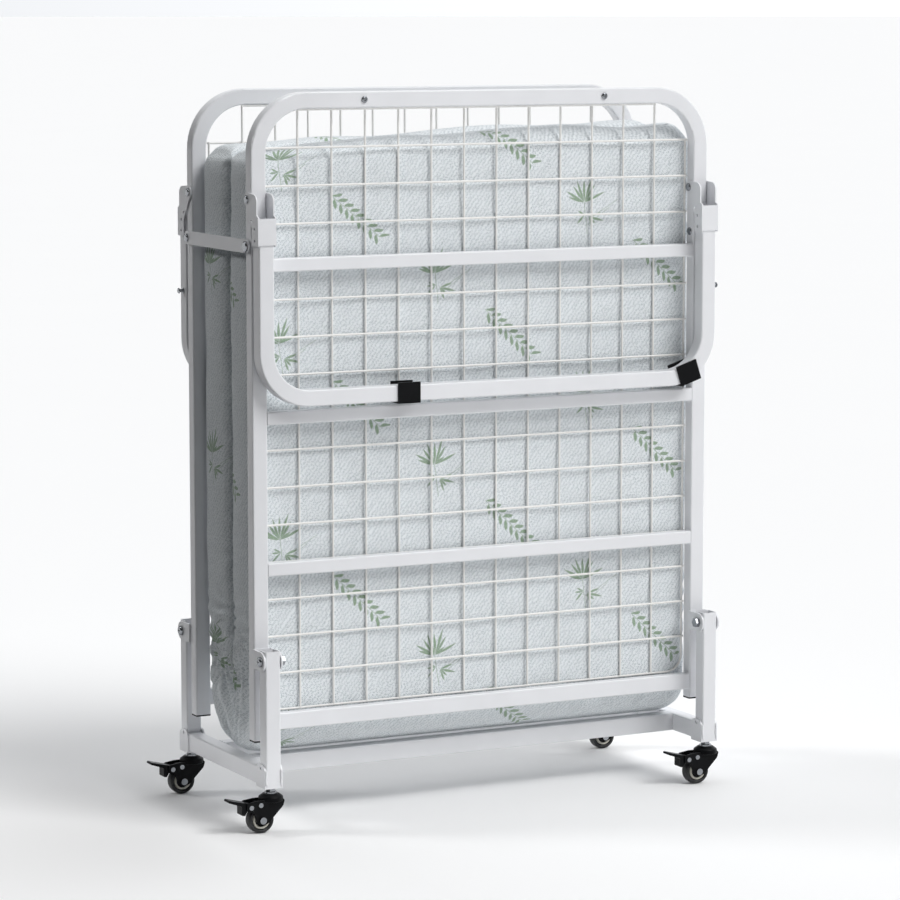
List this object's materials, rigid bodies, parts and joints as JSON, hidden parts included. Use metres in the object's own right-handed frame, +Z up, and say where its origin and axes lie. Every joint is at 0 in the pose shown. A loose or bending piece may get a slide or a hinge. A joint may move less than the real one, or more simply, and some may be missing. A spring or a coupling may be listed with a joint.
{
  "type": "folding guest bed",
  "caption": "Folding guest bed on braked casters, folded shut: two tube deck halves with wire grids, U legs, straps and a mattress folded between them.",
  "frame": {"origin": "on the floor under the middle of the frame, midway between the four posts", "axes": "+Z up; +X along the bed's width, to the right seen from the front; -Y is the front, and the two deck halves open towards -Y and +Y"},
  "size_m": [0.8337, 0.3348, 1.0795],
  "materials": {
    "white_tube": "semi-gloss white powder coat on steel tube",
    "white_sheet": "semi-gloss white powder coat on bent sheet steel",
    "white_wire": "white powder coat on steel wire",
    "zinc": "bright zinc plate",
    "black_plastic": "moulded black nylon",
    "wheel_centre": "moulded dark grey plastic",
    "rubber_tyre": "black rubber",
    "mattress_cloth": "pale knitted cloth with small green leaf sprigs"
  },
  "bodies": {
    "base": {"base_side_rail_left": "white_tube", "base_side_rail_right": "white_tube", "base_cross_rail_front": "white_tube", "base_cross_rail_rear": "white_tube", "post_front_left": "white_tube", "post_front_right": "white_tube", "post_rear_left": "white_tube", "post_rear_right": "white_tube", "corner_brackets": "white_sheet", "deck_bolts": "zinc", "deck_nuts": "zinc", "caster_stems": "zinc"},
    "front_deck": {"front_deck_bow": "white_tube", "front_cross_tubes": "white_tube", "front_wire_grid": "white_wire", "front_end_caps": "black_plastic", "front_clevises": "white_sheet", "front_bow_screws": "zinc", "front_deck_rivets": "zinc", "front_mattress": "mattress_cloth", "front_mattress_fold": "mattress_cloth"},
    "front_leg": {"front_leg_tube": "white_tube", "front_leg_brackets": "white_sheet", "front_foot_clips": "black_plastic", "front_leg_stud": "zinc"},
    "rear_deck": {"rear_deck_bow": "white_tube", "rear_cross_tubes": "white_tube", "rear_wire_grid": "white_wire", "rear_end_caps": "black_plastic", "rear_clevises": "white_sheet", "rear_bow_screws": "zinc", "rear_deck_rivets": "zinc", "rear_mattress": "mattress_cloth", "rear_mattress_fold": "mattress_cloth"},
    "rear_leg": {"rear_leg_tube": "white_tube", "rear_leg_brackets": "white_sheet", "rear_foot_clips": "black_plastic", "rear_leg_stud": "zinc"},
    "strap_left": {"strap_left": "white_sheet"},
    "strap_right": {"strap_right": "white_sheet"},
    "caster_front_left_swivel": {"caster_front_left_housing": "black_plastic", "caster_front_left_pins": "zinc"},
    "caster_front_left_wheel": {"caster_front_left_hub": "wheel_centre", "caster_front_left_tyre": "rubber_tyre"},
    "caster_front_left_brake": {"caster_front_left_pedal": "black_plastic"},
    "caster_front_right_swivel": {"caster_front_right_housing": "black_plastic", "caster_front_right_pins": "zinc"},
    "caster_front_right_wheel": {"caster_front_right_hub": "wheel_centre", "caster_front_right_tyre": "rubber_tyre"},
    "caster_front_right_brake": {"caster_front_right_pedal": "black_plastic"},
    "caster_rear_left_swivel": {"caster_rear_left_housing": "black_plastic", "caster_rear_left_pins": "zinc"},
    "caster_rear_left_wheel": {"caster_rear_left_hub": "wheel_centre", "caster_rear_left_tyre": "rubber_tyre"},
    "caster_rear_left_brake": {"caster_rear_left_pedal": "black_plastic"},
    "caster_rear_right_swivel": {"caster_rear_right_housing": "black_plastic", "caster_rear_right_pins": "zinc"},
    "caster_rear_right_wheel": {"caster_rear_right_hub": "wheel_centre", "caster_rear_right_tyre": "rubber_tyre"},
    "caster_rear_right_brake": {"caster_rear_right_pedal": "black_plastic"}
  },
  "joints": [
    {"name": "front_deck_fold", "type": "hinge", "parent": "base", "child": "front_deck", "pos_m": [0, -0.1486, 0.2535], "axis": [1, 0, 0], "range_deg": [0, 88.9], "deforming": ["front_mattress_fold"]},
    {"name": "front_leg_fold", "type": "hinge", "parent": "front_deck", "child": "front_leg", "pos_m": [0, -0.1089, 0.926], "axis": [-1, 0, 0], "range_deg": [0, 90]},
    {"name": "rear_deck_fold", "type": "hinge", "parent": "base", "child": "rear_deck", "pos_m": [0, 0.1486, 0.2535], "axis": [-1, 0, 0], "range_deg": [0, 88.9], "deforming": ["rear_mattress_fold"]},
    {"name": "rear_leg_fold", "type": "hinge", "parent": "rear_deck", "child": "rear_leg", "pos_m": [0, 0.1089, 0.926], "axis": [1, 0, 0], "range_deg": [0, 90]},
    {"name": "strap_right_lift", "type": "hinge", "parent": "front_deck", "child": "strap_right", "pos_m": [0.38665, -0.1089, 0.858], "axis": [1, 0, 0], "range_deg": [0, 65]},
    {"name": "strap_left_lift", "type": "hinge", "parent": "rear_deck", "child": "strap_left", "pos_m": [-0.38665, 0.1089, 0.858], "axis": [-1, 0, 0], "range_deg": [0, 65]},
    {"name": "caster_front_left_turn", "type": "hinge", "parent": "base", "child": "caster_front_left_swivel", "pos_m": [-0.371, -0.1486, 0.05], "axis": [0, 0, 1], "continuous": true},
    {"name": "caster_front_left_roll", "type": "hinge", "parent": "caster_front_left_swivel", "child": "caster_front_left_wheel", "pos_m": [-0.389, -0.1486, 0.02], "axis": [0, 1, 0], "continuous": true},
    {"name": "caster_front_left_brake_press", "type": "hinge", "parent": "caster_front_left_swivel", "child": "caster_front_left_brake", "pos_m": [-0.407, -0.1486, 0.0405], "axis": [0, -1, 0], "range_deg": [0, 14]},
    {"name": "caster_front_right_turn", "type": "hinge", "parent": "base", "child": "caster_front_right_swivel", "pos_m": [0.371, -0.1486, 0.05], "axis": [0, 0, 1], "continuous": true},
    {"name": "caster_front_right_roll", "type": "hinge", "parent": "caster_front_right_swivel", "child": "caster_front_right_wheel", "pos_m": [0.353, -0.1486, 0.02], "axis": [0, 1, 0], "continuous": true},
    {"name": "caster_front_right_brake_press", "type": "hinge", "parent": "caster_front_right_swivel", "child": "caster_front_right_brake", "pos_m": [0.335, -0.1486, 0.0405], "axis": [0, -1, 0], "range_deg": [0, 14]},
    {"name": "caster_rear_left_turn", "type": "hinge", "parent": "base", "child": "caster_rear_left_swivel", "pos_m": [-0.371, 0.1486, 0.05], "axis": [0, 0, 1], "continuous": true},
    {"name": "caster_rear_left_roll", "type": "hinge", "parent": "caster_rear_left_swivel", "child": "caster_rear_left_wheel", "pos_m": [-0.389, 0.1486, 0.02], "axis": [0, 1, 0], "continuous": true},
    {"name": "caster_rear_left_brake_press", "type": "hinge", "parent": "caster_rear_left_swivel", "child": "caster_rear_left_brake", "pos_m": [-0.407, 0.1486, 0.0405], "axis": [0, -1, 0], "range_deg": [0, 14]},
    {"name": "caster_rear_right_turn", "type": "hinge", "parent": "base", "child": "caster_rear_right_swivel", "pos_m": [0.371, 0.1486, 0.05], "axis": [0, 0, 1], "continuous": true},
    {"name": "caster_rear_right_roll", "type": "hinge", "parent": "caster_rear_right_swivel", "child": "caster_rear_right_wheel", "pos_m": [0.353, 0.1486, 0.02], "axis": [0, 1, 0], "continuous": true},
    {"name": "caster_rear_right_brake_press", "type": "hinge", "parent": "caster_rear_right_swivel", "child": "caster_rear_right_brake", "pos_m": [0.335, 0.1486, 0.0405], "axis": [0, -1, 0], "range_deg": [0, 14]}
  ]
}
